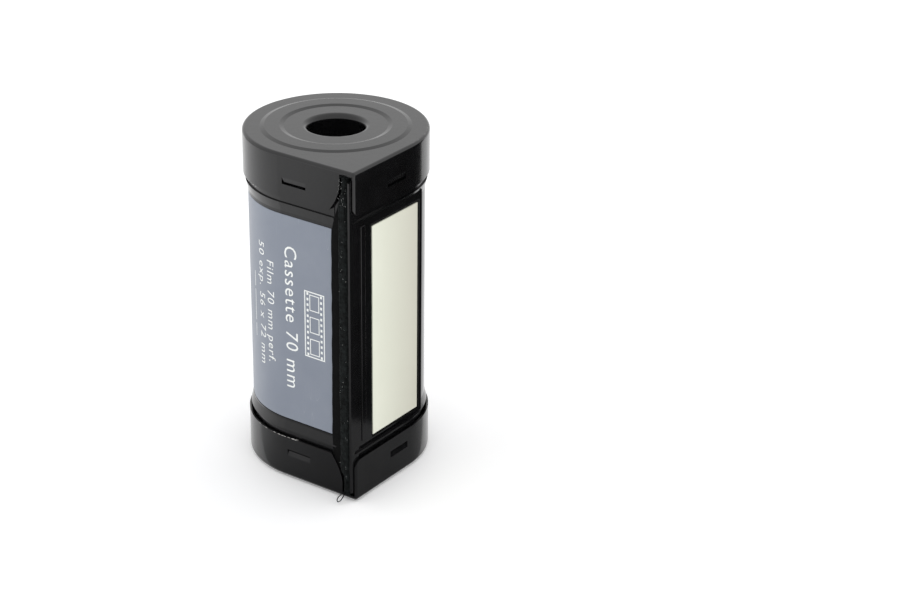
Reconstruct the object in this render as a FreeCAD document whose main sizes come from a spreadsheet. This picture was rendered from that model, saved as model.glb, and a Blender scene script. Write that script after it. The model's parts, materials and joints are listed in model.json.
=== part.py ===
"""Reusable cassette for 70 mm roll film.

A teardrop-section sheet-metal can with a drawn cap at each end. Film leaves through
a plush-lined slit at the one square corner. Inside, a flanged spool runs on the
collars drawn into the caps' spindle holes.

Frame: +Z along the spool, origin on the spool's axis at the plane that the bottom cap
stands on. The label wall faces -Y, the memo wall faces +X, and they meet at the corner
at +X -Y. Millimetres.
"""
import FreeCAD
import Part
import Sketcher
import math
import os
import re

DIMS = {
    # overall
    "overall_height": 77.0,
    # caps
    "cap_radius": 20.1,
    "cap_sheet": 0.4,
    "cap_edge_round": 0.7,
    "cap_corner_round": 0.6,
    "skirt_depth": 10.0,
    "ridge_height": 0.25,
    "ridge_inner": 11.15,
    "ridge_outer": 16.35,
    "ridge_slope": 1.0,
    "hole_radius": 6.1,
    "collar_round": 1.2,
    "collar_end": 4.9,
    "collar_land": 8.5,
    # notch in the cap's skirt, where the film slit and its plush pass
    "notch_top": 1.2,
    "notch_narrow": 16.4,
    "notch_wide": 13.5,
    "notch_straight": 4.0,
    "notch_curve": 12.0,
    "skirt_corner_round": 2.0,
    # catches pressed into the skirt
    "catch_length": 6.3,
    "catch_height": 1.1,
    "catch_level": 6.0,
    "catch_depth": 0.3,
    "catch_slit": 0.42,
    "catch_label": 4.35,
    "catch_memo_bottom": -4.45,
    "catch_memo_top": -5.2,
    # shell
    "shell_gap": 1.1,
    "neck_radius": 19.3,
    "shoulder_radius": 19.65,
    "wall_radius": 19.15,
    "neck_inside": 18.85,
    "wall_inside": 18.3,
    "neck_length": 11.5,
    "flare_length": 2.3,
    "flare_sink": 0.05,
    "cavity_step": 10.6,
        # film slit at the corner
    "slit_from": 17.4,
    "slit_to": 19.0,
    "slit_root": -14.2,
    "lip_wall": 0.45,
    "lip_reach": -20.8,
    "lip_outside": 19.5,
    "lip_step": -18.2,
    "lip_gap": 2.3,
    "plush_seat": 14.4,
    # label recess and plate
    "label_floor": 18.95,
    "label_face": 19.12,
    "label_edge": 13.4,
    "label_low": 14.2,
    "label_high": 62.6,
    "label_margin": 0.15,
    "label_wrap": 100.0,
    # memo frame and plate
    "frame_low": 12.0,
    "frame_high": 65.0,
    "frame_round": 1.2,
    "frame_edge_round": 0.12,
    "frame_right": 5.0,
    "rib_from": -16.7,
    "rib_to": -15.2,
    "rib_face": 19.33,
    "rib_margin": 1.4,
    "seat_left": -13.0,
    "seat_right": 4.0,
    "seat_low": 12.8,
    "seat_high": 62.9,
    "seat_floor": 18.7,
    "memo_left": -12.4,
    "memo_right": 3.65,
    "memo_low": 13.1,
    "memo_high": 62.3,
    "memo_face": 18.97,
    "memo_gap": 0.02,
    # plush strips
    "plush_end": 1.4,
    "plush_face": -20.0,
    "plush_inner": 18.2,
    "plush_flap": 14.6,
    "plush_flap_end": 16.8,
    "plush_flap_level": 10.6,
    "plush_round": 0.6,
    "panel_plush": 18.45,
    "panel_plush_reach": -20.4,
    "panel_plush_end": 2.5,
    # washer and light-trap ring in each cap
    "washer_inner": 7.6,
    "washer_outer": 11.0,
    "washer_sheet": 0.5,
    "trap_inner": 12.8,
    "trap_outer": 14.8,
    "trap_top": 2.1,
    # spool
    "flange_radius": 18.0,
    "flange_level": 2.4,
    "flange_sheet": 0.5,
    "hub_head_radius": 12.0,
    "hub_head_level": 1.45,
    "hub_radius": 8.25,
    "hub_end": 11.0,
    "hub_running_bore": 6.58,
    "hub_web_level": 7.4,
    "socket_radius": 4.6,
    "key_width": 2.2,
    "key_reach": 5.8,
    "core_radius": 9.0,
    "core_inside": 8.3,
    "slot_width": 2.0,
    "slot_margin": 3.0,
    # rivets
    "rivet_circle": 10.5,
    "rivet_radius": 0.8,
    "rivet_head_radius": 1.3,
    "rivet_head_height": 0.5,
    "rivet_clearance": 0.03,
    # film clip
    "clip_sheet": 0.35,
    "clip_low": 13.0,
    "clip_gap": 0.04,
    "clip_blade": 1.3,
    "clip_tip": -3.0,
    "clip_foot_angle": 45.0,
    "clip_rivet_angle": 28.0,
    "clip_rivet_radius": 0.6,
    "clip_rivet_head": 1.1,
    "clip_rivet_inset": 6.0,
}
WALL_CUT = 1.6      # depth of a cut that clears one wall from outside it
OUTSIDE = 21.0      # a plane just outside every wall
RIVET_ANGLES = (90, 210, 330)

doc = FreeCAD.newDocument("film_cassette")


def make_sheet():
    sheet = doc.addObject("Spreadsheet::Sheet", "Dims")
    for row, (alias, value) in enumerate(DIMS.items(), start=1):
        sheet.set(f"A{row}", alias)
        sheet.set(f"B{row}", str(value))
        sheet.setAlias(f"B{row}", alias)
    doc.recompute()
    return sheet


def bound(expression):
    """The expression with each alias written as a reference to its cell."""
    return re.sub(
        "[a-z_]+", lambda word: f"Dims.{word[0]}" if word[0] in DIMS else word[0],
        expression,
    )


def value_of(expression):
    return float(sheet.evalExpression(bound(expression)))


# ---- sketches ---------------------------------------------------------------------

def make_body(label):
    body = doc.addObject("PartDesign::Body", label)
    body.Label = label
    return body


def make_sketch(body, role, offset):
    """A sketch parallel to one of the body's own planes, moved out along its normal."""
    plane = [item for item in body.Origin.OriginFeatures if item.Role == role][0]
    sketch = body.newObject("Sketcher::SketchObject", "Sketch")
    sketch.AttachmentSupport = [(plane, "")]
    sketch.MapMode = "FlatFace"
    sketch.setExpression(".AttachmentOffset.Base.z", bound(offset))
    return sketch


def bind(sketch, kind, *arguments, to):
    index = sketch.addConstraint(Sketcher.Constraint(kind, *arguments, value_of(to)))
    sketch.setExpression(f"Constraints[{index}]", bound(to))


def add_circle(sketch, radius, x="0", y="0"):
    centre = FreeCAD.Vector(value_of(x), value_of(y), 0)
    circle = Part.Circle(centre, FreeCAD.Vector(0, 0, 1), value_of(radius))
    index = sketch.addGeometry(circle)
    bind(sketch, "Radius", index, to=radius)
    if x == "0" and y == "0":
        sketch.addConstraint(Sketcher.Constraint("Coincident", index, 3, -1, 1))
    else:
        bind(sketch, "DistanceX", -1, 1, index, 3, to=x)
        bind(sketch, "DistanceY", -1, 1, index, 3, to=y)


def add_teardrop(sketch, radius):
    """A circle with one square corner at +X -Y."""
    size = value_of(radius)
    circle = Part.Circle(FreeCAD.Vector(0, 0, 0), FreeCAD.Vector(0, 0, 1), size)
    arc = sketch.addGeometry(Part.ArcOfCircle(circle, 0, 1.5 * math.pi))
    corner = FreeCAD.Vector(size, -size, 0)
    low = sketch.addGeometry(Part.LineSegment(FreeCAD.Vector(0, -size, 0), corner))
    side = sketch.addGeometry(Part.LineSegment(corner, FreeCAD.Vector(size, 0, 0)))
    sketch.addConstraint(Sketcher.Constraint("Coincident", arc, 3, -1, 1))
    bind(sketch, "Radius", arc, to=radius)
    sketch.addConstraint(Sketcher.Constraint("Tangent", arc, 2, low, 1))
    sketch.addConstraint(Sketcher.Constraint("Tangent", arc, 1, side, 2))
    sketch.addConstraint(Sketcher.Constraint("Coincident", low, 2, side, 1))
    sketch.addConstraint(Sketcher.Constraint("Horizontal", low))
    sketch.addConstraint(Sketcher.Constraint("Vertical", side))


def add_outline(sketch, steps):
    """A closed outline. A step is (x, y) for a corner reached by a straight line, or
    (x, y, radius, turn) for one reached by an arc under half a circle, turn 1 when it
    runs counter-clockwise and -1 when clockwise."""
    corners = [FreeCAD.Vector(value_of(step[0]), value_of(step[1]), 0) for step in steps]
    edges = []
    for number, step in enumerate(steps):
        start, end = corners[number - 1], corners[number]
        if len(step) == 2:
            index = sketch.addGeometry(Part.LineSegment(start, end))
            edges.append((index, 1, 2))
        else:
            radius, turn = value_of(step[2]), step[3]
            chord = end - start
            rise = math.sqrt(radius ** 2 - (chord.Length / 2) ** 2)
            across = FreeCAD.Vector(-chord.y, chord.x, 0) * (turn * rise / chord.Length)
            centre = start + chord * 0.5 + across
            first, last = (start, end) if turn > 0 else (end, start)
            begin = math.atan2(first.y - centre.y, first.x - centre.x)
            finish = math.atan2(last.y - centre.y, last.x - centre.x)
            circle = Part.Circle(centre, FreeCAD.Vector(0, 0, 1), radius)
            index = sketch.addGeometry(Part.ArcOfCircle(circle, begin, finish))
            bind(sketch, "Radius", index, to=step[2])
            edges.append((index, 1, 2) if turn > 0 else (index, 2, 1))
    for number, (index, first, last) in enumerate(edges):
        bind(sketch, "DistanceX", -1, 1, index, last, to=steps[number][0])
        bind(sketch, "DistanceY", -1, 1, index, last, to=steps[number][1])
        following = edges[(number + 1) % len(edges)]
        sketch.addConstraint(
            Sketcher.Constraint("Coincident", index, last, following[0], following[1])
        )


def add_box_outline(sketch, left, low, right, high):
    add_outline(sketch, [(left, low), (right, low), (right, high), (left, high)])


# ---- features ---------------------------------------------------------------------

def extrude(body, sketch, kind, length, reverse=False):
    feature = body.newObject(f"PartDesign::{kind}", kind)
    feature.Profile = sketch
    feature.setExpression("Length", bound(length))
    feature.Reversed = reverse
    sketch.Visibility = False
    doc.recompute()
    return feature


def pad(body, sketch, length, reverse=False):
    return extrude(body, sketch, "Pad", length, reverse)


def pocket(body, sketch, length, reverse=False):
    """A cut, which must take some volume away."""
    before = body.Shape.Volume
    feature = extrude(body, sketch, "Pocket", length, reverse)
    if body.Shape.Volume >= before:
        raise RuntimeError(f"a pocket in {body.Label} cuts nothing")
    return feature


def revolve(body, steps, kind="Revolution"):
    """Turn an outline in the XZ plane about Z."""
    sketch = make_sketch(body, "XZ_Plane", "0")
    add_outline(sketch, steps)
    feature = body.newObject(f"PartDesign::{kind}", kind)
    feature.Profile = sketch
    feature.ReferenceAxis = (sketch, ["V_Axis"])
    feature.Angle = 360
    doc.recompute()
    return feature


def round_edges(body, radius, wanted):
    """Fillet each edge of the body for which wanted(edge) is true."""
    base = body.Tip
    names = [
        f"Edge{number}"
        for number, edge in enumerate(base.Shape.Edges, start=1)
        if wanted(edge)
    ]
    fillet = body.newObject("PartDesign::Fillet", "Fillet")
    fillet.Base = (base, names)
    fillet.setExpression("Radius", bound(radius))
    doc.recompute()
    return fillet


def is_level(edge, level):
    box = edge.BoundBox
    return abs(box.ZMin - level) < 1e-4 and abs(box.ZMax - level) < 1e-4


def mirrored(source, label):
    """The same piece at the other end of the cassette."""
    copy = doc.addObject("Part::Mirroring", label)
    copy.Label = label
    copy.Source = source
    copy.Normal = FreeCAD.Vector(0, 0, 1)
    copy.setExpression("Base.z", bound("overall_height / 2"))
    doc.recompute()
    return copy


def tube(label, outer, inner, low, high):
    body = make_body(label)
    sketch = make_sketch(body, "XY_Plane", low)
    add_circle(sketch, outer)
    add_circle(sketch, inner)
    pad(body, sketch, f"{high} - ({low})")
    return body


# ---- caps -------------------------------------------------------------------------

def cap_catch(body, role, start, outward):
    """An oblong pressed inward on a slope and slit along its deep edge. The section is
    drawn on the plane of that role at the catch's first end; outward is the sign of
    the skirt's side in that plane."""
    low = "catch_level - catch_height / 2"
    high = "catch_level + catch_height / 2"
    for face, extend, reverse in (
        ("cap_radius", pocket, True),
        ("cap_radius - cap_sheet", pad, False),
    ):
        wedge = make_sketch(body, role, start)
        corners = [(face, low), (f"{face} - catch_depth", high), (face, high)]
        add_outline(wedge, [(f"{outward} * ({x})", y) for x, y in corners])
        extend(body, wedge, "catch_length", reverse)
    slit = make_sketch(body, role, start)
    add_box_outline(
        slit, f"{outward} * (cap_radius - cap_sheet - catch_depth)", high,
        f"{outward} * (cap_radius + 0.1)", f"{high} + catch_slit",
    )
    pocket(body, slit, "catch_length", reverse=True)


def cap_ridge(body):
    """The raised ring that the cassette stands on, with its hollow on the inside."""
    revolve(body, [
        ("ridge_inner", "ridge_height + 0.1"),
        ("ridge_inner", "ridge_height"),
        ("ridge_inner + ridge_slope", "0"),
        ("ridge_outer - ridge_slope", "0"),
        ("ridge_outer", "ridge_height"),
        ("ridge_outer", "ridge_height + 0.1"),
    ])
    inside = "ridge_height + cap_sheet"
    revolve(body, [
        ("ridge_inner + cap_sheet", f"{inside} + 0.2"),
        ("ridge_inner + cap_sheet", inside),
        ("ridge_inner + cap_sheet + ridge_slope", "cap_sheet"),
        ("ridge_outer - cap_sheet - ridge_slope", "cap_sheet"),
        ("ridge_outer - cap_sheet", inside),
        ("ridge_outer - cap_sheet", f"{inside} + 0.2"),
    ], kind="Groove")


def cap_collar(body):
    """The spindle hole: the face is drawn inward round it to make a bearing collar."""
    hole = make_sketch(body, "XY_Plane", "0")
    add_circle(hole, "collar_land")
    pocket(body, hole, "ridge_height + cap_sheet", reverse=True)
    top = "ridge_height + collar_round"
    revolve(body, [
        ("hole_radius", "collar_end"),
        ("hole_radius", top),
        ("hole_radius + collar_round", "ridge_height", "collar_round", 1),
        ("collar_land", "ridge_height"),
        ("collar_land", "ridge_height + cap_sheet"),
        ("hole_radius + collar_round", "ridge_height + cap_sheet"),
        ("hole_radius + cap_sheet", top, "collar_round - cap_sheet", -1),
        ("hole_radius + cap_sheet", "collar_end"),
    ])


def cap_notch(body):
    """The gap in the label side of the skirt, and the skirt's rounded free corner."""
    gap = make_sketch(body, "XZ_Plane", str(OUTSIDE))
    add_outline(gap, [
        ("cap_radius - cap_sheet", "notch_top"),
        ("cap_radius - cap_sheet", "skirt_depth + 1"),
        ("notch_wide - 0.4", "skirt_depth + 1"),
        ("notch_wide - 0.4", "skirt_depth"),
        ("notch_wide + 0.4", "skirt_depth - 0.7", "0.9", -1),
        ("notch_narrow", "notch_straight", "notch_curve", -1),
        ("notch_narrow", "notch_top"),
    ])
    pocket(body, gap, str(WALL_CUT))
    corner = make_sketch(body, "YZ_Plane", str(OUTSIDE))
    add_outline(corner, [
        ("0 - cap_radius", "skirt_depth - skirt_corner_round"),
        ("skirt_corner_round - cap_radius", "skirt_depth", "skirt_corner_round", -1),
        ("skirt_corner_round - cap_radius", "skirt_depth + 1"),
        ("0 - cap_radius - 1", "skirt_depth + 1"),
        ("0 - cap_radius - 1", "skirt_depth - skirt_corner_round"),
    ])
    pocket(body, corner, str(WALL_CUT))


def make_cap(label, memo_catch):
    """A cap as it sits at the bottom end."""
    body = make_body(label)
    outside = make_sketch(body, "XY_Plane", "ridge_height")
    add_teardrop(outside, "cap_radius")
    pad(body, outside, "skirt_depth - ridge_height")
    corner = value_of("cap_radius")
    round_edges(body, "cap_corner_round", lambda edge: (
        edge.BoundBox.ZLength > 1
        and abs(edge.BoundBox.XMin - corner) < 1e-4
        and abs(edge.BoundBox.YMin + corner) < 1e-4
    ))
    level = value_of("ridge_height")
    round_edges(body, "cap_edge_round", lambda edge: is_level(edge, level))
    inside = make_sketch(body, "XY_Plane", "skirt_depth")
    add_teardrop(inside, "cap_radius - cap_sheet")
    pocket(body, inside, "skirt_depth - ridge_height - cap_sheet")
    cap_ridge(body)
    cap_collar(body)
    cap_notch(body)
    cap_catch(body, "YZ_Plane", "catch_label - catch_length / 2", -1)
    cap_catch(body, "XZ_Plane", f"0 - {memo_catch} - catch_length / 2", 1)
    return body


# ---- shell ------------------------------------------------------------------------

def shell_prism(body, radius, low, high):
    sketch = make_sketch(body, "XY_Plane", low)
    add_teardrop(sketch, radius)
    pad(body, sketch, f"{high} - ({low})")


def shell_flare(body, neck, wall):
    """The wall swells toward each neck and ends in a step behind the cap's skirt."""
    wide = make_sketch(body, "XY_Plane", neck)
    add_teardrop(wide, "shoulder_radius")
    narrow = make_sketch(body, "XY_Plane", wall)
    add_teardrop(narrow, "wall_radius - flare_sink")
    flare = body.newObject("PartDesign::AdditiveLoft", "Flare")
    flare.Profile = wide
    flare.Sections = [narrow]
    flare.Ruled = True
    doc.recompute()


def shell_cavity(body, inside, low, high):
    """Hollow one length of the shell, leaving the folded end of the label wall."""
    sketch = make_sketch(body, "XY_Plane", high)
    add_outline(sketch, [
        ("0", inside, inside, 1),
        (f"0 - {inside}", "0", inside, 1),
        ("0", f"0 - {inside}", inside, 1),
        ("slit_from - lip_wall", f"0 - {inside}"),
        ("slit_from - lip_wall", "slit_root"),
        (inside, "slit_root"),
        (inside, "0"),
    ])
    pocket(body, sketch, f"{high} - ({low})")


def shell_film_slit(body):
    """The lip of the memo wall, the slit beside it and the flat seat for the plush."""
    top = "overall_height - shell_gap"
    lip = make_sketch(body, "YZ_Plane", "lip_outside")
    add_box_outline(lip, "lip_reach", "lip_gap", "lip_step", "overall_height - lip_gap")
    pad(body, lip, "lip_outside - slit_to", reverse=True)
    seat = make_sketch(body, "XY_Plane", top)
    add_box_outline(
        seat, "plush_seat", f"0 - {OUTSIDE}", "slit_from", "0 - wall_radius"
    )
    pocket(body, seat, f"{top} - shell_gap")
    slit = make_sketch(body, "XY_Plane", top)
    add_box_outline(slit, "slit_from", f"0 - {OUTSIDE}", "slit_to", "slit_root")
    pocket(body, slit, f"{top} - shell_gap")


def ease_outline(body, face, left, right):
    """Round the edges that stand at that face, between two places across the wall."""
    level, first, last = value_of(face), value_of(left), value_of(right)
    round_edges(body, "frame_edge_round", lambda edge: (
        abs(edge.BoundBox.XMin - level) < 1e-4
        and abs(edge.BoundBox.XMax - level) < 1e-4
        and edge.BoundBox.YMin > first - 1e-3
        and edge.BoundBox.YMax < last + 1e-3
    ))


def shell_memo_frame(body):
    """The stepped frame pressed into the memo wall."""
    flat = make_sketch(body, "YZ_Plane", "wall_radius")
    add_box_outline(flat, "0 - 1", "frame_low", "frame_right", "frame_high")
    pad(body, flat, "0.75", reverse=True)
    step = make_sketch(body, "YZ_Plane", str(OUTSIDE))
    add_outline(step, [
        ("frame_right", "frame_low"),
        ("frame_right", "frame_high"),
        ("lip_step + frame_round", "frame_high"),
        ("lip_step", "frame_high - frame_round", "frame_round", 1),
        ("lip_step", "frame_low + frame_round"),
        ("lip_step + frame_round", "frame_low", "frame_round", 1),
    ])
    pocket(body, step, f"{OUTSIDE} - wall_radius")
    rib = make_sketch(body, "YZ_Plane", "rib_face")
    add_box_outline(
        rib, "rib_from", "frame_low + rib_margin", "rib_to", "frame_high - rib_margin"
    )
    pad(body, rib, "rib_face - wall_radius + 0.1", reverse=True)
    ease_outline(body, "rib_face", "rib_from", "rib_to")
    seat = make_sketch(body, "YZ_Plane", str(OUTSIDE))
    add_box_outline(seat, "seat_left", "seat_low", "seat_right", "seat_high")
    pocket(body, seat, f"{OUTSIDE} - seat_floor")
    ease_outline(body, "wall_radius", "seat_left", "seat_right")


def wrap_outline(inner, outer, edge, wrap):
    """A band that starts flat on the label wall and follows the round wall behind."""
    return [
        (edge, f"0 - ({outer})"),
        (edge, f"0 - ({inner})"),
        ("0", f"0 - ({inner})"),
        (f"({inner}) * cos({wrap})", f"({inner}) * sin({wrap})", inner, -1),
        (f"({outer}) * cos({wrap})", f"({outer}) * sin({wrap})"),
        ("0", f"0 - ({outer})", outer, 1),
    ]


def make_shell():
    body = make_body("shell")
    low, high = "shell_gap", "overall_height - shell_gap"
    shell_prism(body, "wall_radius", low, high)
    for start, end in (
        (low, "neck_length"),
        ("overall_height - neck_length", high),
    ):
        shell_prism(body, "neck_radius", start, end)
    flare_end = "neck_length + flare_length"
    shell_flare(body, "neck_length", flare_end)
    shell_flare(
        body, "overall_height - neck_length", f"overall_height - ({flare_end})"
    )
    shell_cavity(body, "neck_inside", low, "cavity_step")
    shell_cavity(body, "wall_inside", "cavity_step", "overall_height - cavity_step")
    shell_cavity(body, "neck_inside", "overall_height - cavity_step", high)
    shell_memo_frame(body)
    shell_film_slit(body)
    recess = make_sketch(body, "XY_Plane", "label_high + label_margin")
    add_outline(recess, wrap_outline(
        "label_floor", str(OUTSIDE - 0.8), "label_edge + label_margin",
        "label_wrap - 1",
    ))
    pocket(body, recess, "label_high - label_low + 2 * label_margin")
    return body


def make_label_plate():
    body = make_body("label_plate")
    sketch = make_sketch(body, "XY_Plane", "label_low")
    add_outline(sketch, wrap_outline(
        "label_floor + memo_gap", "label_face", "label_edge", "label_wrap"
    ))
    pad(body, sketch, "label_high - label_low")
    return body


def make_memo_plate():
    body = make_body("memo_plate")
    sketch = make_sketch(body, "YZ_Plane", "memo_face")
    add_box_outline(sketch, "memo_left", "memo_low", "memo_right", "memo_high")
    pad(body, sketch, "memo_face - seat_floor - memo_gap", reverse=True)
    return body


# ---- plush ------------------------------------------------------------------------

def make_label_lip_plush():
    """The strip folded round the end of the label wall, into the slit."""
    body = make_body("label_lip_plush")
    fold = make_sketch(body, "XY_Plane", "plush_end")
    add_outline(fold, [
        ("plush_flap_end", "plush_face"),
        ("plush_inner - plush_round", "plush_face"),
        ("plush_inner", "plush_face + plush_round", "plush_round", 1),
        ("plush_inner", "slit_root - 0.2"),
        ("slit_from", "slit_root - 0.2"),
        ("slit_from", "0 - wall_radius"),
        ("plush_flap_end", "0 - wall_radius"),
    ])
    pad(body, fold, "overall_height - 2 * plush_end")
    flap = make_sketch(body, "XY_Plane", "plush_flap_level")
    add_box_outline(
        flap, "plush_flap", "plush_face", "plush_flap_end + 0.1", "0 - wall_radius"
    )
    pad(body, flap, "overall_height - 2 * plush_flap_level")
    return body


def make_panel_lip_plush():
    """The strip on the inside of the memo wall's lip."""
    body = make_body("panel_lip_plush")
    sketch = make_sketch(body, "XY_Plane", "panel_plush_end")
    add_box_outline(
        sketch, "panel_plush", "panel_plush_reach", "slit_to", "slit_root - 0.2"
    )
    pad(body, sketch, "overall_height - 2 * panel_plush_end")
    return body


# ---- spool ------------------------------------------------------------------------

def make_hub():
    """A turned bush: it runs on the cap's collar and holds the drive socket."""
    body = make_body("spool_bottom_hub")
    revolve(body, [
        ("hub_running_bore", "hub_head_level"),
        ("hub_head_radius", "hub_head_level"),
        ("hub_head_radius", "flange_level"),
        ("hub_radius", "flange_level"),
        ("hub_radius", "hub_end"),
        ("socket_radius", "hub_end"),
        ("socket_radius", "hub_web_level"),
        ("hub_running_bore", "hub_web_level"),
    ])
    keys = make_sketch(body, "XY_Plane", "hub_web_level - 0.1")
    add_box_outline(
        keys, "0 - key_reach", "0 - key_width / 2", "key_reach", "key_width / 2"
    )
    pocket(body, keys, "hub_end - hub_web_level + 0.2", reverse=True)
    rivet_holes(body, "hub_head_level - 0.1", "flange_level - hub_head_level + 0.2")
    return body


def rivet_holes(body, level, length):
    sketch = make_sketch(body, "XY_Plane", level)
    for angle in RIVET_ANGLES:
        add_circle(
            sketch, "rivet_radius + rivet_clearance",
            f"rivet_circle * cos({angle})", f"rivet_circle * sin({angle})",
        )
    pocket(body, sketch, length, reverse=True)


def make_flange():
    body = tube(
        "spool_bottom_flange", "flange_radius", "hub_radius + rivet_clearance",
        "flange_level", "flange_level + flange_sheet",
    )
    rivet_holes(body, "flange_level - 0.1", "flange_sheet + 0.2")
    return body


def make_core():
    body = tube(
        "spool_core", "core_radius", "core_inside", "flange_level + flange_sheet",
        "overall_height - flange_level - flange_sheet",
    )
    slot = make_sketch(body, "YZ_Plane", "core_radius + 1")
    low = "flange_level + flange_sheet + slot_margin"
    add_box_outline(
        slot, "0 - slot_width / 2", low, "slot_width / 2", f"overall_height - ({low})"
    )
    pocket(body, slot, "3")
    return body


def make_clip():
    """A spring strip: its foot is riveted inside the core, its blade grips the film."""
    body = make_body("film_clip")
    outer, inner = "core_inside - clip_gap", "core_inside - clip_gap - clip_sheet"
    top, under = "clip_blade + clip_sheet", "clip_blade"
    reach = f"sqrt(({inner}) * ({inner}) - ({top}) * ({top}))"
    heel = f"sqrt(({outer}) * ({outer}) - ({under}) * ({under}))"
    sketch = make_sketch(body, "XY_Plane", "clip_low")
    add_outline(sketch, [
        ("clip_tip", top),
        ("clip_tip", under),
        (heel, under),
        (f"({outer}) * cos(clip_foot_angle)",
         f"({outer}) * sin(clip_foot_angle)", outer, 1),
        (f"({inner}) * cos(clip_foot_angle)",
         f"({inner}) * sin(clip_foot_angle)"),
        (reach, top, inner, -1),
    ])
    pad(body, sketch, "overall_height - 2 * clip_low")
    return body


# ---- rivets -----------------------------------------------------------------------

def make_cylinder(radius, height, place):
    cylinder = doc.addObject("Part::Cylinder", "Cylinder")
    cylinder.setExpression("Radius", bound(radius))
    cylinder.setExpression("Height", bound(height))
    cylinder.Placement = place
    return cylinder


def make_rivet(shank, head):
    rivet = doc.addObject("Part::Fuse", "Rivet")
    rivet.Base = shank
    rivet.Tool = head
    return rivet


def group_of(label, pieces):
    group = doc.addObject("Part::Compound", label)
    group.Label = label
    group.Links = pieces
    doc.recompute()
    return group


def make_hub_rivets():
    rivets = []
    low = value_of("hub_head_level")
    seat = value_of("flange_level + flange_sheet")
    for angle in RIVET_ANGLES:
        turn = math.radians(angle)
        x = value_of("rivet_circle") * math.cos(turn)
        y = value_of("rivet_circle") * math.sin(turn)
        shank = make_cylinder(
            "rivet_radius", "flange_level + flange_sheet - hub_head_level + 0.2",
            FreeCAD.Placement(FreeCAD.Vector(x, y, low), FreeCAD.Rotation()),
        )
        head = make_cylinder(
            "rivet_head_radius", "rivet_head_height",
            FreeCAD.Placement(FreeCAD.Vector(x, y, seat), FreeCAD.Rotation()),
        )
        rivets.append(make_rivet(shank, head))
    return group_of("bottom_hub_rivets", rivets)


def clip_rivet_places():
    """One placement per clip rivet, its own Z pointing out of the core."""
    angle = value_of("clip_rivet_angle")
    inset = value_of("clip_low + clip_rivet_inset")
    out = FreeCAD.Rotation(FreeCAD.Vector(0, 0, 1), angle)
    lay = FreeCAD.Rotation(FreeCAD.Vector(0, 1, 0), 90)
    for level in (inset, value_of("overall_height") - inset):
        yield FreeCAD.Placement(FreeCAD.Vector(0, 0, level), out * lay)


def make_clip_rivets():
    rivets = []
    inner = "(core_inside - clip_gap - clip_sheet)"
    foot = f"sqrt({inner} * {inner} - clip_rivet_head * clip_rivet_head) - 0.02"
    for place in clip_rivet_places():
        start = FreeCAD.Vector(0, 0, value_of(f"{foot} - rivet_head_height"))
        base = place.multVec(start)
        head = make_cylinder(
            "clip_rivet_head", "rivet_head_height",
            FreeCAD.Placement(base, place.Rotation),
        )
        shank = make_cylinder(
            "clip_rivet_radius",
            f"core_radius - 0.02 - ({foot}) + rivet_head_height",
            FreeCAD.Placement(base, place.Rotation),
        )
        rivets.append(make_rivet(shank, head))
    return group_of("clip_rivets", rivets)


def drilled(body, label):
    """The body with the clip rivets' holes through it."""
    tools = []
    for place in clip_rivet_places():
        tools.append(make_cylinder(
            "clip_rivet_radius + rivet_clearance", "core_radius + 1", place
        ))
    holes = doc.addObject("Part::Compound", "Holes")
    holes.Links = tools
    cut = doc.addObject("Part::Cut", label)
    cut.Base = body
    cut.Tool = holes
    cut.Label = label
    doc.recompute()
    return cut


# ---- assembly ---------------------------------------------------------------------

def make_pieces():
    bottom_cap = make_cap("bottom_cap", "catch_memo_bottom")
    top_form = make_cap("top_cap_form", "catch_memo_top")
    inside = "ridge_height + cap_sheet"
    washer = tube(
        "bottom_wear_washer", "washer_outer", "washer_inner",
        f"{inside} + memo_gap", f"{inside} + washer_sheet",
    )
    trap = tube(
        "bottom_trap_ring", "trap_outer", "trap_inner", "cap_sheet + memo_gap",
        "trap_top",
    )
    hub = make_hub()
    flange = make_flange()
    hub_rivets = make_hub_rivets()
    return [
        make_shell(), make_label_plate(), make_memo_plate(),
        make_label_lip_plush(), make_panel_lip_plush(),
        bottom_cap, washer, trap, hub, flange, hub_rivets,
        mirrored(top_form, "top_cap"),
        mirrored(washer, "top_wear_washer"),
        mirrored(trap, "top_trap_ring"),
        mirrored(hub, "spool_top_hub"),
        mirrored(flange, "spool_top_flange"),
        mirrored(hub_rivets, "top_hub_rivets"),
        drilled_piece(make_core, "spool_core"),
        drilled_piece(make_clip, "film_clip"),
        make_clip_rivets(),
    ]


def drilled_piece(make, label):
    blank = make()
    blank.Label = f"{label}_blank"
    return drilled(blank, label)


def write_pieces(pieces):
    for item in doc.Objects:
        if "Invalid" in item.State or "Error" in item.State:
            raise RuntimeError(f"{item.Label} did not compute: {item.State}")
    os.makedirs("parts", exist_ok=True)
    for piece in pieces:
        shape = piece.Shape
        if shape.isNull() or not shape.isValid():
            raise RuntimeError(f"{piece.Label} has no valid shape")
        shape.exportStep(f"parts/{piece.Label}.step")
        box = shape.BoundBox
        print(
            f"{piece.Label}: {len(shape.Solids)} solid(s), {shape.Volume:.1f} mm3, "
            f"z {box.ZMin:.2f} to {box.ZMax:.2f}"
        )


sheet = make_sheet()
pieces = make_pieces()
doc.recompute()
write_pieces(pieces)
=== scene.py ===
"""The looks of the 70 mm roll-film cassette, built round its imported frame."""
import bmesh
import bpy
import json
import math
import random
from mathutils import Matrix, Vector, noise


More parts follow.
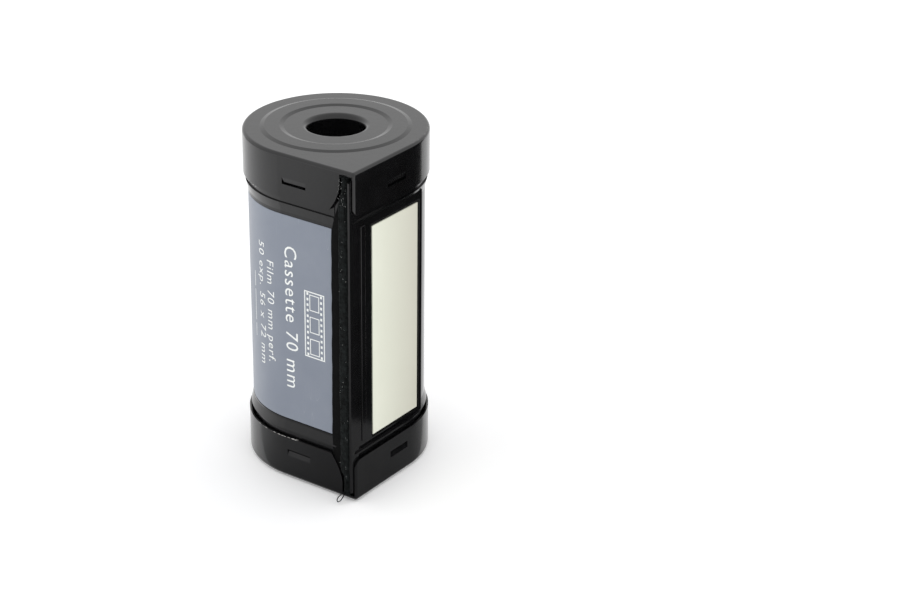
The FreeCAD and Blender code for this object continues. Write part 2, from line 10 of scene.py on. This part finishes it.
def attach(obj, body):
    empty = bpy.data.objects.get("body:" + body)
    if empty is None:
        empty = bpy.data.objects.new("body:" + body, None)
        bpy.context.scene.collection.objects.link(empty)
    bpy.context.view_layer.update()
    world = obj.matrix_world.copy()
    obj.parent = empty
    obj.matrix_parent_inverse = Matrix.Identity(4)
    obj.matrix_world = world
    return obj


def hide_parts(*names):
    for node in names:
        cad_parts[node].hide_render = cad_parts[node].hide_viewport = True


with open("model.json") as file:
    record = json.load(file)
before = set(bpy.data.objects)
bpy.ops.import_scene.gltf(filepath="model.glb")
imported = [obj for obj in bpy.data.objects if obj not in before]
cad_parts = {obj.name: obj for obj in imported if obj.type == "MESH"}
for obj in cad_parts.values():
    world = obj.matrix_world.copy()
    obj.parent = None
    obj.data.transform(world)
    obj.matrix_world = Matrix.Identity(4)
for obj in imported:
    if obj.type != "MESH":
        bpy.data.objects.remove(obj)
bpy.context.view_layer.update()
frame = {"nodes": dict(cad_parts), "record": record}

MM = 0.001

# ---- camera and studio --------------------------------------------------------------
CAMERA_PLACE = Vector((0.2917, -0.3721, 0.2584))
CAMERA_LOOK = Vector((-0.5199, 0.7400, -0.4268))
CAMERA_ROLL = math.radians(0.63)
LENS_MM = 94.4
SENSOR_MM = 36.0
WORLD_STRENGTH = 1.1
FLOOR_SIZE = 6.0
FLOOR_DROP = 0.0002
FLOOR_GLOW = 0.13
# a second black can stood beside this one: only reflections see it
FLAG_PLACE = (46.0, 29.0)
FLAG_RADIUS = 20.0
FLAG_HEIGHT = 77.0
# painted shade: grey cards on the floor that stand in for the shaded floor beside the can,
# also for reflections only
SHADE_CARDS = (
    ((-42.0, -20.5), (-190.0, -300.0), (75.0, -300.0), (75.0, -20.5)),
    ((20.5, -20.5), (75.0, -20.5), (75.0, 45.0), (20.5, 45.0)),
)
CARD_SHADE_DEEP = (0.27, 0.27, 0.275)
CARD_SHADE_FAINT = (0.62, 0.62, 0.63)
CARD_FADED = (0.97, 0.97, 0.97)
# in metres: the distance over which a card's painted shade turns pale, and the level direction
# and places between which its left part fades into the floor
CARD_NEAR = 0.04
CARD_FAR = 0.22
CARD_ACROSS = (0.884, 0.468)
CARD_FADE_START = -0.0275
CARD_FADE_END = 0.022

# ---- label print, in millimetres along and round the label wall -----------------------
LABEL_FACE = 19.12
CAP_RADIUS = 20.1
INK_LIFT = 0.03
INK_DEPTH = 0.02
# the flat ink is cut across each millimetre this far to both sides, so that it can bend
INK_CUTS = 12
# text, baseline, capital height, top end and bottom end
PRINT_LINES = (
    ("Cassette 70 mm", 0.75, 3.2, 55.6, 22.1),
    ("Film 70 mm perf.", -4.7, 2.15, 50.6, 26.4),
    ("50 exp. 56 x 72 mm", -7.7, 2.0, 54.2, 25.0),
)
RULE_LINES = ((-10.2, 0.22, 46.0, 42.4), (-10.2, 0.22, 41.6, 34.2), (-10.2, 0.22, 33.4, 30.4))
EMBLEM = {"low": 5.9, "high": 11.3, "top": 46.6, "bottom": 31.0, "stroke": 0.26}
EMBLEM_FRAMES = 3
EMBLEM_HOLES = 12
FRAME_MARGIN = 0.7
FRAME_STROKE = 0.2
HOLE_SIZE = (0.6, 0.5)
HOLE_INSET = 0.62

# ---- plush, in millimetres -------------------------------------------------------------
PLUSH_LOW = 1.4
PLUSH_HIGH = 75.6
PLUSH_STEP = 0.35
PLUSH_WIDE_TOP = 13.6
PLUSH_WIDE_LOW = 13.15
PLUSH_NARROW = 16.75
PLUSH_RIDGE = 15.8
PLUSH_WALL = 19.19
PANEL_LOW = 2.5
PANEL_HIGH = 74.5
PANEL_RINGS = 200
SLIT_BACK = -14.4
LABEL_FIBRES = 5200
PANEL_FIBRES = 1300
FRAY_FIBRES = 220
LINT_SPECKS = 58
LINT_AT_TOP = 30
THREAD_STEPS = 24
THREAD_RADIUS = 0.12


def make_camera():
    data = bpy.data.cameras.new("camera")
    data.lens = LENS_MM
    data.sensor_width = SENSOR_MM
    data.clip_start = 0.01
    camera = bpy.data.objects.new("camera", data)
    bpy.context.scene.collection.objects.link(camera)
    turn = CAMERA_LOOK.to_track_quat("-Z", "Y").to_matrix().to_4x4()
    camera.matrix_world = (
        Matrix.Translation(CAMERA_PLACE) @ turn @ Matrix.Rotation(CAMERA_ROLL, 4, "Z")
    )
    bpy.context.scene.camera = camera


def make_world():
    world = bpy.data.worlds.new("studio")
    world.use_nodes = True
    background = world.node_tree.nodes["Background"]
    background.inputs["Color"].default_value = (1.0, 1.0, 1.0, 1.0)
    background.inputs["Strength"].default_value = WORLD_STRENGTH
    bpy.context.scene.world = world


# ---- mesh helpers -------------------------------------------------------------------
def make_object(name, mesh):
    obj = bpy.data.objects.new(name, mesh)
    bpy.context.scene.collection.objects.link(obj)
    return obj


def mesh_from(name, points, faces):
    mesh = bpy.data.meshes.new(name)
    mesh.from_pydata(points, [], faces)
    mesh.update()
    return mesh


def make_floor():
    half = FLOOR_SIZE / 2
    corners = [(-half, -half), (half, -half), (half, half), (-half, half)]
    points = [(x, y, -FLOOR_DROP) for x, y in corners]
    floor = make_object("floor", mesh_from("floor", points, [(0, 1, 2, 3)]))
    paper = plain_material("floor", (0.97, 0.97, 0.975), 0.6)
    shader = paper.node_tree.nodes["Principled BSDF"]
    shader.inputs["Emission Color"].default_value = (1, 1, 1, 1)
    shader.inputs["Emission Strength"].default_value = FLOOR_GLOW
    floor.data.materials.append(paper)


def make_flag():
    """The dark neighbour that the memo side mirrors."""
    sides = 64
    ring = [2 * math.pi * number / sides for number in range(sides)]
    points = [
        ((FLAG_PLACE[0] + FLAG_RADIUS * math.cos(turn)) * MM,
         (FLAG_PLACE[1] + FLAG_RADIUS * math.sin(turn)) * MM, level * MM)
        for level in (0, FLAG_HEIGHT) for turn in ring
    ]
    faces = [
        (n, (n + 1) % sides, sides + (n + 1) % sides, sides + n) for n in range(sides)
    ]
    faces += [tuple(reversed(range(sides))), tuple(range(sides, 2 * sides))]
    flag = make_object("flag", mesh_from("flag", points, faces))
    flag.data.materials.append(plain_material("flag", (0.004, 0.004, 0.004), 0.5))
    flag.visible_camera = False
    flag.visible_shadow = False
    flag.visible_diffuse = False


def make_shade_cards():
    """Painted shade: grey sheets on the floor by the two flat sides, darker close to them,
    standing in for the floor's shade near the can. Only reflections see them, and they take
    the floor's glare off the enamel."""
    points = [(x * MM, y * MM, 0) for corners in SHADE_CARDS for x, y in corners]
    shade_card = make_object("shade_cards", mesh_from("shade_cards", points, [(0, 1, 2, 3), (4, 5, 6, 7)]))
    material = plain_material("shade_card", CARD_SHADE_DEEP, 0.9)
    tree = material.node_tree
    x, y, _ = add_place(tree)
    away = add_math(tree, "SQRT", add_math(
        tree, "ADD", add_math(tree, "MULTIPLY", x, x), add_math(tree, "MULTIPLY", y, y)
    ), 0)
    # painted shade: the card is darkest close to the can and pales with distance
    share = add_range(tree, away, CARD_NEAR, CARD_FAR, 0.0, 1.0)
    colour = add_mix(tree, share, CARD_SHADE_DEEP, CARD_SHADE_FAINT)
    inside = add_math(
        tree, "SUBTRACT", add_math(tree, "MULTIPLY", x, CARD_ACROSS[0]),
        add_math(tree, "MULTIPLY", y, CARD_ACROSS[1]),
    )
    fade = add_range(tree, inside, CARD_FADE_START, CARD_FADE_END, 1.0, 0.0)
    colour = add_mix(tree, fade, colour, CARD_FADED)
    tree.links.new(colour, tree.nodes["Principled BSDF"].inputs["Base Color"])
    shade_card.data.materials.append(material)
    shade_card.visible_camera = False
    shade_card.visible_shadow = False
    shade_card.visible_diffuse = False


def add_piece(name, body, mesh, material):
    """A looks-only piece that rides on a CAD body."""
    piece = make_object(name, mesh)
    piece.data.materials.append(material)
    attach(piece, body)
    return piece


# ---- materials ----------------------------------------------------------------------
NOISE_ROUGHNESS = 0.55
SCRATCH_LEVEL = 0.62
SCRATCH_WIDTH = 0.006
# cap, height of its skirt's edge, and how far toward the lip the worn line runs, in mm
WEAR_LINES = (("bottom_cap", 10.0, 3.5), ("top_cap", 67.0, -6.0))
WEAR_LENGTH = 12
WEAR_FADE = 1


def new_material(name):
    material = bpy.data.materials.new(name)
    material.use_nodes = True
    tree = material.node_tree
    return material, tree, tree.nodes["Principled BSDF"]


def plain_material(name, colour, roughness):
    """One flat tone, for the studio only."""
    material, _, shader = new_material(name)
    shader.inputs["Base Color"].default_value = (*colour, 1)
    shader.inputs["Roughness"].default_value = roughness
    shader.inputs["Specular IOR Level"].default_value = 0.2
    return material


def add_noise(tree, scale, detail=3.0):
    coordinates = tree.nodes.new("ShaderNodeTexCoord")
    texture = tree.nodes.new("ShaderNodeTexNoise")
    texture.inputs["Scale"].default_value = scale
    texture.inputs["Detail"].default_value = detail
    texture.inputs["Roughness"].default_value = NOISE_ROUGHNESS
    tree.links.new(coordinates.outputs["Object"], texture.inputs["Vector"])
    return texture.outputs["Fac"]


def add_math(tree, operation, first, second):
    node = tree.nodes.new("ShaderNodeMath")
    node.operation = operation
    for socket, value in zip(node.inputs, (first, second)):
        if isinstance(value, (int, float)):
            socket.default_value = value
        else:
            tree.links.new(value, socket)
    return node.outputs[0]


def add_place(tree):
    """The object's own X, Y and Z, in metres."""
    coordinates = tree.nodes.new("ShaderNodeTexCoord")
    split = tree.nodes.new("ShaderNodeSeparateXYZ")
    tree.links.new(coordinates.outputs["Object"], split.inputs[0])
    return split.outputs


def add_scratches(tree, scale, stretch, angle):
    """Thin broken lines: a noise drawn out along one direction."""
    coordinates = tree.nodes.new("ShaderNodeTexCoord")
    mapping = tree.nodes.new("ShaderNodeMapping")
    mapping.inputs["Rotation"].default_value = angle
    mapping.inputs["Scale"].default_value = (scale, scale, scale / stretch)
    texture = tree.nodes.new("ShaderNodeTexNoise")
    texture.inputs["Scale"].default_value = 1.0
    texture.inputs["Detail"].default_value = 1.0
    tree.links.new(coordinates.outputs["Object"], mapping.inputs["Vector"])
    tree.links.new(mapping.outputs["Vector"], texture.inputs["Vector"])
    level = add_math(tree, "SUBTRACT", texture.outputs["Fac"], SCRATCH_LEVEL)
    away = add_math(tree, "ABSOLUTE", level, 0)
    return add_range(tree, away, 0.0, SCRATCH_WIDTH, 1.0, 0.0)


def add_range(tree, source, from_low, from_high, to_low, to_high):
    node = tree.nodes.new("ShaderNodeMapRange")
    node.inputs["From Min"].default_value = from_low
    node.inputs["From Max"].default_value = from_high
    node.inputs["To Min"].default_value = to_low
    node.inputs["To Max"].default_value = to_high
    tree.links.new(source, node.inputs["Value"])
    return node.outputs["Result"]


def add_mix(tree, factor, first, second):
    node = tree.nodes.new("ShaderNodeMix")
    node.data_type = "RGBA"
    tree.links.new(factor, node.inputs["Factor"])
    for socket, value in ((node.inputs[6], first), (node.inputs[7], second)):
        if isinstance(value, tuple):
            socket.default_value = (*value, 1)
        else:
            tree.links.new(value, socket)
    return node.outputs[2]


def add_bump(tree, shader, height, distance):
    node = tree.nodes.new("ShaderNodeBump")
    node.inputs["Distance"].default_value = distance
    node.inputs["Strength"].default_value = 1.0
    tree.links.new(height, node.inputs["Height"])
    tree.links.new(node.outputs["Normal"], shader.inputs["Normal"])


def speckled(name, dark, light, scale, roughness, bump_scale, bump_height, metallic=0.0):
    """A painted, printed or moulded surface: two close tones, uneven gloss, fine bump."""
    material, tree, shader = new_material(name)
    tone = add_range(tree, add_noise(tree, scale), 0.3, 0.7, 0.0, 1.0)
    colour = add_mix(tree, tone, dark, light)
    tree.links.new(colour, shader.inputs["Base Color"])
    gloss = add_range(tree, add_noise(tree, scale * 0.4, 4.0), 0.3, 0.7, *roughness)
    tree.links.new(gloss, shader.inputs["Roughness"])
    shader.inputs["Metallic"].default_value = metallic
    add_bump(tree, shader, add_noise(tree, bump_scale), bump_height)
    return material


def worn_enamel(name, edge, reach):
    """Gloss black, chipped to bare metal along one level edge of the label side."""
    material = speckled(
        name, (0.003, 0.003, 0.0033), (0.005, 0.005, 0.0055), 160, (0.12, 0.2), 700,
        0.000012,
    )
    tree = material.node_tree
    shader = tree.nodes["Principled BSDF"]
    x, y, z = add_place(tree)
    away = add_math(tree, "ABSOLUTE", add_math(tree, "SUBTRACT", z, edge * MM), 0)
    near = add_range(tree, away, 0.05 * MM, 0.12 * MM, 1.0, 0.0)
    side = add_range(tree, x, reach * MM, (reach + WEAR_FADE) * MM, 1.0, 0.0)
    begin = reach - WEAR_LENGTH
    start = add_range(tree, x, begin * MM, (begin + WEAR_FADE) * MM, 0.0, 1.0)
    out = add_math(
        tree, "ADD", add_math(tree, "MULTIPLY", x, x), add_math(tree, "MULTIPLY", y, y)
    )
    rim = (CAP_RADIUS - 0.1) * MM
    front = add_range(tree, out, rim * rim, (rim + 0.05 * MM) ** 2, 0.0, 1.0)
    front = add_math(tree, "MULTIPLY", front, start)
    label_side = add_range(tree, y, -2 * MM, 0.0, 1.0, 0.0)
    front = add_math(tree, "MULTIPLY", front, label_side)
    chips = add_range(tree, add_noise(tree, 1300, 3.0), 0.46, 0.54, 0.0, 1.0)
    worn = add_math(tree, "MULTIPLY", near, chips)
    worn = add_math(tree, "MULTIPLY", worn, side)
    worn = add_math(tree, "MULTIPLY", worn, front)
    paint = shader.inputs["Base Color"].links[0].from_socket
    colour = add_mix(tree, worn, paint, (0.5, 0.49, 0.47))
    tree.links.new(colour, shader.inputs["Base Color"])
    return material


def printed_label():
    """The blue-grey print, with a few thin scratches."""
    material = speckled(
        "label_print", (0.2, 0.225, 0.275), (0.22, 0.245, 0.295), 120, (0.32, 0.42),
        1500, 0.000004,
    )
    tree = material.node_tree
    shader = tree.nodes["Principled BSDF"]
    scratch = add_scratches(tree, 420, 9, (0.5, 0.7, 0.3))
    patch = add_range(tree, add_noise(tree, 55, 1.0), 0.52, 0.62, 0.0, 0.35)
    faint = add_math(tree, "MULTIPLY", scratch, patch)
    base = shader.inputs["Base Color"].links[0].from_socket
    tree.links.new(add_mix(tree, faint, base, (0.36, 0.39, 0.44)), shader.inputs["Base Color"])
    return material


def memo_cream():
    """The writing surface, with painted shade from the neighbouring can: a little darker
    toward the round back.
    """
    material = speckled(
        "memo_cream", (0.76, 0.78, 0.66), (0.79, 0.81, 0.69), 90, (0.35, 0.45), 1200,
        0.000004,
    )
    tree = material.node_tree
    shader = tree.nodes["Principled BSDF"]
    _, y, _ = add_place(tree)
    # painted shade: the cream darkens toward the round back
    share = add_range(tree, y, -12.4 * MM, 3.7 * MM, 0.0, 1.0)
    base = shader.inputs["Base Color"].links[0].from_socket
    tree.links.new(add_mix(tree, share, base, (0.6, 0.59, 0.5)), shader.inputs["Base Color"])
    return material


def velvet_pile():
    """Black velvet: a near-black glued margin, and pile from the ridge on."""
    material = speckled(
        "plush", (0.0018, 0.0022, 0.0022), (0.013, 0.016, 0.016), 1500, (0.9, 1.0), 2500,
        0.0001,
    )
    tree = material.node_tree
    shader = tree.nodes["Principled BSDF"]
    x, _, _ = add_place(tree)
    pile = add_range(tree, x, PLUSH_RIDGE * MM - 0.0003, PLUSH_RIDGE * MM + 0.0001, 0.0, 1.0)
    tone = shader.inputs["Base Color"].links[0].from_socket
    colour = add_mix(tree, pile, (0.0012, 0.0012, 0.0013), tone)
    tree.links.new(colour, shader.inputs["Base Color"])
    shader.inputs["Sheen Weight"].default_value = 0.05
    shader.inputs["Sheen Roughness"].default_value = 0.4
    shader.inputs["Specular IOR Level"].default_value = 0.15
    return material


MATERIALS = {
    "black_enamel": lambda: speckled(
        "black_enamel", (0.003, 0.003, 0.0033), (0.005, 0.005, 0.0055),
        160, (0.1, 0.17), 900, 0.00001,
    ),
    "plush": velvet_pile,
    "label_print": printed_label,
    "memo_cream": memo_cream,
    "spool_enamel": lambda: speckled(
        "spool_enamel", (0.008, 0.008, 0.008), (0.014, 0.014, 0.014), 200,
        (0.28, 0.4), 900, 0.00001,
    ),
    "hub_alloy": lambda: speckled(
        "hub_alloy", (0.05, 0.05, 0.05), (0.07, 0.07, 0.07), 200, (0.3, 0.42), 900,
        0.00001, 0.6,
    ),
    "steel": lambda: speckled(
        "steel", (0.5, 0.5, 0.49), (0.6, 0.6, 0.59), 300, (0.22, 0.35), 1500,
        0.000006, 1.0,
    ),
    "fibre": lambda: speckled(
        "fibre", (0.10, 0.035, 0.02), (0.15, 0.055, 0.03), 500, (0.6, 0.75), 1500,
        0.00002,
    ),
}


def finish_nodes():
    """Give every CAD node its slot's material and smooth shading."""
    made = {slot: make() for slot, make in MATERIALS.items()}
    for part in frame["record"]["subparts"]:
        node = frame["nodes"][part["node"]]
        node.data.materials.clear()
        node.data.materials.append(made[part["material_slot"]])
        node.data.shade_smooth()
        node.data.set_sharp_from_angle(angle=math.radians(28))
    return made


# ---- label print --------------------------------------------------------------------
def on_label(along, across):
    """A point of the print: along is the height, across runs round the wall to the lip."""
    radius = LABEL_FACE + INK_LIFT
    if across >= 0:
        return Vector((across, -radius, along)) * MM
    turn = across / radius
    return Vector((radius * math.sin(turn), -radius * math.cos(turn), along)) * MM


def text_outline(text):
    """The text as a flat mesh, its left end at x 0 and its baseline at y 0."""
    curve = bpy.data.curves.new("lettering", "FONT")
    curve.body = text
    curve.space_character = 1.16
    curve.resolution_u = 3
    carrier = bpy.data.objects.new("lettering", curve)
    bpy.context.scene.collection.objects.link(carrier)
    flat = bpy.data.meshes.new_from_object(
        carrier.evaluated_get(bpy.context.evaluated_depsgraph_get())
    )
    bpy.data.objects.remove(carrier)
    bpy.data.curves.remove(curve)
    return flat


def capital_height():
    flat = text_outline("F")
    height = max(point.co.y for point in flat.vertices)
    bpy.data.meshes.remove(flat)
    return height


def ink_mesh(name, shapes):
    """Flat shapes, x down the label and y toward the lip, laid on it as raised ink."""
    sheet = bmesh.new()
    for points, faces in shapes:
        placed = [sheet.verts.new((x, y, 0)) for x, y in points]
        for face in faces:
            sheet.faces.new([placed[index] for index in face])
    for step in range(-INK_CUTS, INK_CUTS + 1):
        bmesh.ops.bisect_plane(
            sheet, geom=sheet.verts[:] + sheet.edges[:] + sheet.faces[:],
            plane_co=(0, step, 0), plane_no=(0, 1, 0),
        )
    bmesh.ops.triangulate(sheet, faces=sheet.faces[:])
    for point in sheet.verts:
        point.co = on_label(-point.co.x, point.co.y)
    bmesh.ops.recalc_face_normals(sheet, faces=sheet.faces[:])
    bmesh.ops.solidify(sheet, geom=sheet.faces[:], thickness=INK_DEPTH * MM)
    bmesh.ops.recalc_face_normals(sheet, faces=sheet.faces[:])
    mesh = bpy.data.meshes.new(name)
    sheet.to_mesh(mesh)
    sheet.free()
    return mesh


def bar(start, end, low, high):
    """A rectangle of ink between two heights, given as distances down from z 0."""
    return [(start, low), (end, low), (end, high), (start, high)], [(0, 1, 2, 3)]


def frame_bars(start, end, low, high, stroke):
    """The four sides of a rectangle drawn in line."""
    return [
        bar(start, end, low, low + stroke), bar(start, end, high - stroke, high),
        bar(start, start + stroke, low + stroke, high - stroke),
        bar(end - stroke, end, low + stroke, high - stroke),
    ]


def lettering_shapes():
    shapes = []
    capital = capital_height()
    for text, baseline, height, top, bottom in PRINT_LINES:
        flat = text_outline(text)
        left = min(point.co.x for point in flat.vertices)
        right = max(point.co.x for point in flat.vertices)
        stretch = (top - bottom) / (right - left)
        points = [
            ((point.co.x - left) * stretch - top,
             baseline + point.co.y * height / capital)
            for point in flat.vertices
        ]
        faces = [tuple(face.vertices) for face in flat.polygons]
        shapes.append((points, faces))
        bpy.data.meshes.remove(flat)
    return shapes


def emblem_shapes():
    """A short length of perforated film, drawn in line."""
    low, high, stroke = EMBLEM["low"], EMBLEM["high"], EMBLEM["stroke"]
    start, end = -EMBLEM["top"], -EMBLEM["bottom"]
    shapes = frame_bars(start, end, low, high, stroke)
    gap = 2 * FRAME_MARGIN
    pitch = (end - start) / EMBLEM_FRAMES
    for number in range(EMBLEM_FRAMES):
        left = start + number * pitch + FRAME_MARGIN
        shapes += frame_bars(left, left + pitch - gap, low + gap, high - gap, FRAME_STROKE)
    wide, tall = HOLE_SIZE
    spacing = (end - start) / EMBLEM_HOLES
    for number in range(EMBLEM_HOLES):
        middle = start + (number + 0.5) * spacing
        for level in (low + HOLE_INSET, high - HOLE_INSET - tall):
            shapes.append(bar(middle - wide / 2, middle + wide / 2, level, level + tall))
    return shapes


def add_print(ink):
    rules = [
        bar(-top, -bottom, level, level + width)
        for level, width, top, bottom in RULE_LINES
    ]
    for name, shapes in (
        ("label_lettering", lettering_shapes()),
        ("label_emblem", emblem_shapes()),
        ("label_rules", rules),
    ):
        add_piece(name, "shell", ink_mesh(name, shapes), ink)


# ---- plush --------------------------------------------------------------------------
def smooth_step(value, start, end):
    share = min(max((value - start) / (end - start), 0.0), 1.0)
    return share * share * (3 - 2 * share)


def wander(z, seed, size):
    return size * noise.noise(Vector((seed, 0.37 * z, 1.7 * seed)))


def plush_edge(z):
    """Where the strip's left edge lies at a height."""
    spread = smooth_step(z, 4.6, 9.4) * (1 - smooth_step(z, 60.5, 75.0))
    wide = PLUSH_WIDE_LOW + (PLUSH_WIDE_TOP - PLUSH_WIDE_LOW) * z / PLUSH_HIGH
    edge = PLUSH_NARROW + (wide - PLUSH_NARROW) * spread
    return edge + wander(z, 3.1, 0.12)


def plush_section(z):
    """The strip's outline at a height: glued margin, pile, and the fold into the slit."""
    edge = plush_edge(z)
    ridge = max(PLUSH_RIDGE + wander(z, 9.2, 0.25), edge + 0.3)
    crest = 20.35 + wander(1.6 * z, 5.4, 0.16)
    return [
        (edge, -PLUSH_WALL), (edge + 0.06, -19.42), (edge + 0.2, -19.56),
        (ridge - 0.05, -19.62), (ridge + 0.12, -19.95),
        (ridge + 0.45, 0.12 - crest), (17.1, 0.02 - crest), (17.7, 0.04 - crest),
        (18.1, 0.28 - crest), (18.36, 0.75 - crest), (18.4, -18.6), (18.4, SLIT_BACK - 0.1),
        (17.45, SLIT_BACK), (17.45, -PLUSH_WALL),
    ]


def lofted(sections):
    """A closed skin through rings of equal length."""
    count = len(sections[0])
    points = [point for ring in sections for point in ring]
    faces = []
    for row in range(len(sections) - 1):
        first, second = row * count, (row + 1) * count
        for n in range(count):
            after = (n + 1) % count
            faces.append((first + n, second + n, second + after, first + after))
    last = (len(sections) - 1) * count
    faces.append(tuple(range(count)))
    faces.append(tuple(reversed(range(last, last + count))))
    return points, faces


def add_fibre(points, faces, root, tip, radius):
    """A three-sided hair, closed at its root."""
    root, tip = Vector(root), Vector(tip)
    along = (tip - root).normalized()
    side = along.orthogonal().normalized()
    first = len(points)
    for number in range(3):
        turn = Matrix.Rotation(2 * math.pi * number / 3, 3, along)
        points.append(root + (turn @ side) * radius)
    points.append(tip)
    faces += [
        (first, first + 2, first + 1), (first, first + 1, first + 3),
        (first + 1, first + 2, first + 3), (first + 2, first, first + 3),
    ]


def scaled_mesh(name, points, faces):
    return mesh_from(name, [Vector(point) * MM for point in points], faces)


def face_height(section, x):
    """The y of the strip's face at that x, which lies on a rising stretch of it."""
    for (x0, y0), (x1, y1) in zip(section, section[1:]):
        if x0 <= x <= x1 and x1 > x0:
            return y0 + (y1 - y0) * (x - x0) / (x1 - x0)


def make_label_plush(random_source):
    count = round((PLUSH_HIGH - PLUSH_LOW) / PLUSH_STEP)
    levels = [
        PLUSH_LOW + (PLUSH_HIGH - PLUSH_LOW) * number / count
        for number in range(count + 1)
    ]
    points, faces = lofted([
        [(x, y, z) for x, y in plush_section(z)] for z in levels
    ])
    for _ in range(LABEL_FIBRES):
        z = random_source.uniform(PLUSH_LOW + 0.2, PLUSH_HIGH - 0.2)
        section = plush_section(z)
        margin = section[3][0] + 0.1
        x = random_source.uniform(margin, 18.35)
        y = face_height(section, x)
        lean = 0.5 * (x - 17.2) + random_source.gauss(0, 0.35)
        out = Vector((lean, -1.0, random_source.gauss(-0.1, 0.4))).normalized()
        length = random_source.uniform(0.14, 0.36)
        root = Vector((x, y + 0.05, z))
        add_fibre(points, faces, root, root + out * length, 0.035)
    return points, faces


def make_panel_plush(random_source):
    left, right = 18.44, 18.99
    high = PANEL_HIGH - PANEL_LOW
    levels = [PANEL_LOW + high * number / PANEL_RINGS for number in range(PANEL_RINGS + 1)]
    sections = []
    for z in levels:
        reach = -20.45 + wander(2 * z, 12.3, 0.15)
        sections.append([
            (right, SLIT_BACK, z), (right, reach + 0.1, z), (right - 0.18, reach, z),
            (left + 0.1, reach + 0.12, z), (left, reach + 0.4, z), (left, SLIT_BACK, z),
        ])
    points, faces = lofted([list(reversed(section)) for section in sections])
    for _ in range(PANEL_FIBRES):
        z = random_source.uniform(PANEL_LOW + 0.1, PANEL_HIGH - 0.1)
        x = random_source.uniform(left + 0.05, right - 0.08)
        out = Vector((random_source.gauss(-0.25, 0.3), -1, random_source.gauss(0, 0.4)))
        root = Vector((x, -20.3, z))
        tip = root + out.normalized() * random_source.uniform(0.12, 0.35)
        add_fibre(points, faces, root, tip, 0.03)
    return points, faces


def add_fray(points, faces, random_source, z, up):
    """Loose fibres at a cut end of the strip."""
    for _ in range(FRAY_FIBRES):
        x = random_source.uniform(16.8, 18.5)
        y = random_source.uniform(-20.5, -19.3)
        root = Vector((x, y, z))
        out = Vector((
            random_source.gauss(0, 0.5), random_source.gauss(-0.5, 0.5),
            up * random_source.uniform(0.3, 1.2),
        ))
        tip = root + out.normalized() * random_source.uniform(0.25, 0.8)
        add_fibre(points, faces, root, tip, 0.03)


def rope_points(path, radius, sides=6):
    """A closed round thread along a path."""
    rings = []
    for number, point in enumerate(path):
        before = path[max(number - 1, 0)]
        after = path[min(number + 1, len(path) - 1)]
        along = (Vector(after) - Vector(before)).normalized()
        side = along.cross(Vector((0.3, 0.2, 0.93))).normalized()
        other = along.cross(side)
        rings.append([
            tuple(Vector(point) + radius * (
                math.cos(2 * math.pi * n / sides) * side
                + math.sin(2 * math.pi * n / sides) * other
            )) for n in range(sides)
        ])
    return lofted(rings)


def make_lint(random_source):
    """Pale dust caught in the pile, half of it near the top end."""
    points, faces = [], []
    for number in range(LINT_SPECKS):
        if number < LINT_AT_TOP:
            z = random_source.uniform(69.0, 75.0)
        else:
            z = random_source.uniform(3.0, 70.0)
        root = Vector((random_source.uniform(16.2, 18.4), -20.5, z))
        out = Vector([random_source.gauss(0, 1) for _ in range(3)]).normalized()
        out.y = -abs(out.y)
        length = random_source.uniform(0.12, 0.4)
        add_fibre(points, faces, root, root + out * length, 0.035)
    return points, faces


def thread_loop():
    """The path of the thread that hangs out of the lower cut end and turns back."""
    loop = []
    for number in range(THREAD_STEPS + 1):
        turn = 2 * math.pi * number / THREAD_STEPS
        swing = math.sin(turn / 2)
        loop.append((
            17.35 + 0.34 * math.sin(turn) - 0.2 * swing, -20.2 - 2.7 * swing,
            1.9 - 1.35 * swing - 0.26 * math.sin(turn),
        ))
    return loop


def add_plush(velvet):
    source = random.Random(70)
    points, faces = make_label_plush(source)
    add_fray(points, faces, source, PLUSH_HIGH - 0.2, 1)
    add_fray(points, faces, source, PLUSH_LOW + 0.2, -0.4)
    mesh = scaled_mesh("label_lip_velvet", points, faces)
    piece = add_piece("label_lip_velvet", "shell", mesh, velvet)
    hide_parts("label_lip_plush")
    points, faces = make_panel_plush(source)
    mesh = scaled_mesh("panel_lip_velvet", points, faces)
    piece = add_piece("panel_lip_velvet", "shell", mesh, velvet)
    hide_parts("panel_lip_plush")
    points, faces = make_lint(source)
    dust = speckled(
        "lint", (0.38, 0.39, 0.38), (0.52, 0.53, 0.52), 900, (0.85, 0.95), 2000, 0.00001
    )
    mesh = scaled_mesh("plush_lint", points, faces)
    add_piece("plush_lint", "shell", mesh, dust)
    points, faces = rope_points(thread_loop(), THREAD_RADIUS)
    mesh = scaled_mesh("loose_thread", points, faces)
    add_piece("loose_thread", "shell", mesh, velvet)


make_camera()
make_world()
make_floor()
make_flag()
make_shade_cards()
bpy.context.scene.view_settings.view_transform = "Standard"
made = finish_nodes()
for node, edge, reach in WEAR_LINES:
    enamel = worn_enamel(f"{node}_enamel", edge, reach)
    frame["nodes"][node].data.materials[0] = enamel
ink = speckled(
    "label_ink", (0.78, 0.8, 0.79), (0.86, 0.88, 0.86), 400, (0.4, 0.5), 1500, 0.000004,
)
add_print(ink)
add_plush(made["plush"])
